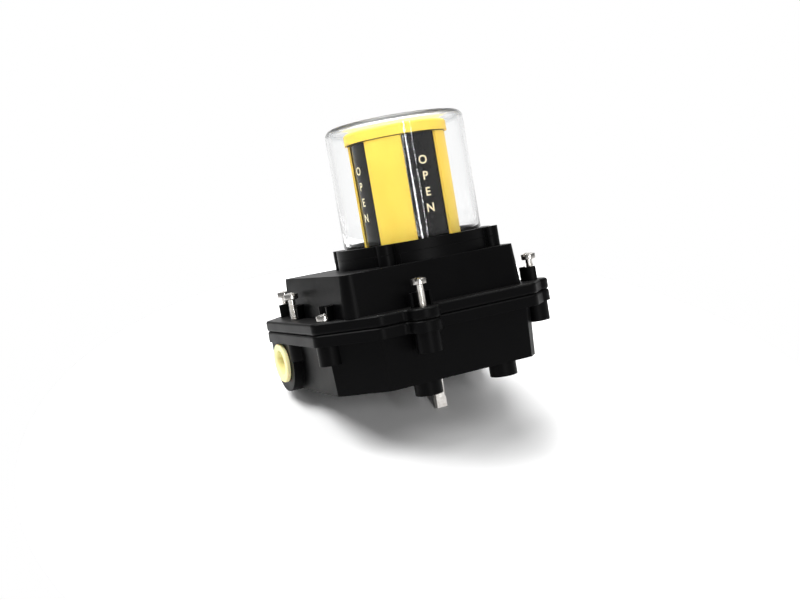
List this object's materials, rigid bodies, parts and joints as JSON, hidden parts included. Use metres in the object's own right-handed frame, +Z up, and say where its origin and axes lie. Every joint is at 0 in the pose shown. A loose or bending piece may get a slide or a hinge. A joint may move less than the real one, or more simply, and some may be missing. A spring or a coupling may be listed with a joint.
{
  "type": "valve limit switch box",
  "caption": "Flameproof limit switch box for a valve actuator: bolted black housing, clear dome over a turning position indicator, drive shaft below.",
  "frame": {"origin": "on the drive shaft's axis, in the plane of the four mounting feet", "axes": "+Z up along the shaft towards the dome, +X away from the plugged cable entry, +Y to the back"},
  "size_m": [0.155, 0.155, 0.1855],
  "materials": {
    "black_coat": "smooth black epoxy powder coat",
    "stainless": "bright stainless steel",
    "black_steel": "blackened steel screws",
    "bronze": "sintered bronze",
    "seal_rubber": "black nitrile rubber",
    "yellow_plastic": "golden yellow moulded plastic",
    "black_plastic": "glossy black moulded plastic",
    "clear_dome": "clear moulded polycarbonate",
    "plug_plastic": "pale yellow soft polyethylene",
    "gear_plastic": "natural acetal",
    "cam_plastic": "red moulded cam",
    "cam_green": "green moulded cam",
    "sensor_plastic": "black sensor case",
    "zinc_plate": "zinc plated steel sheet",
    "terminal_plastic": "grey terminal moulding"
  },
  "bodies": {
    "housing": {"base_housing": "black_coat", "cover_gasket": "seal_rubber", "lower_bushing": "bronze", "shaft_seal": "seal_rubber", "conduit_plug": "plug_plastic", "sensor_bracket": "zinc_plate", "bracket_screws": "stainless", "open_sensor": "sensor_plastic", "closed_sensor": "sensor_plastic", "sensor_screws": "stainless", "terminal_strip": "terminal_plastic", "terminal_clamps": "zinc_plate", "strip_screws": "stainless"},
    "shaft": {"drive_shaft": "stainless", "thrust_washer": "bronze", "retaining_ring": "zinc_plate", "open_cam": "cam_green", "closed_cam": "cam_plastic", "cam_targets": "zinc_plate", "cam_spring": "stainless", "cam_clip": "zinc_plate"},
    "cover": {"cover": "black_coat", "dome": "clear_dome", "dome_gasket": "seal_rubber", "dome_clamp_ring": "black_coat", "dome_clamp_screws": "black_steel", "indicator_drum": "black_plastic", "drum_screws": "stainless", "lay_gear_pin": "stainless"},
    "spindle": {"indicator_spindle": "stainless", "spindle_gear": "bronze"},
    "lay_gear": {"lay_gear": "gear_plastic"},
    "mask": {"mask_gear": "gear_plastic", "mask_stem": "gear_plastic", "indicator_mask": "yellow_plastic", "mask_screw": "stainless"},
    "raised_screws": {"raised_cover_screws": "stainless"},
    "driven_screws": {"driven_cover_screws": "stainless"}
  },
  "joints": [
    {"name": "shaft_turn", "type": "hinge", "parent": "housing", "child": "shaft", "pos_m": [0, 0, 0], "axis": [0, 0, 1], "range_deg": [-90, 0]},
    {"name": "cover_lift", "type": "slide", "parent": "housing", "child": "cover", "axis": [0, 0, 1], "range_m": [0, 0.09]},
    {"name": "spindle_turn", "type": "hinge", "parent": "cover", "child": "spindle", "pos_m": [0, 0, 0], "axis": [0, 0, 1], "range_deg": [-90, 0]},
    {"name": "lay_gear_turn", "type": "hinge", "parent": "cover", "child": "lay_gear", "pos_m": [0, 0.014, 0], "axis": [0, 0, 1], "range_deg": [0, 67.5]},
    {"name": "mask_turn", "type": "hinge", "parent": "cover", "child": "mask", "pos_m": [0, 0, 0], "axis": [0, 0, 1], "range_deg": [-45, 0]},
    {"name": "raised_screw_travel", "type": "slide", "parent": "cover", "child": "raised_screws", "axis": [0, 0, 1], "range_m": [-0.0128, 0]},
    {"name": "driven_screw_travel", "type": "slide", "parent": "cover", "child": "driven_screws", "axis": [0, 0, 1], "range_m": [0, 0.0128]}
  ],
  "couplings": [
    {"joint": "spindle_turn", "follows": "shaft_turn", "ratio": 1},
    {"joint": "lay_gear_turn", "follows": "shaft_turn", "ratio": -0.75},
    {"joint": "mask_turn", "follows": "shaft_turn", "ratio": 0.5}
  ]
}
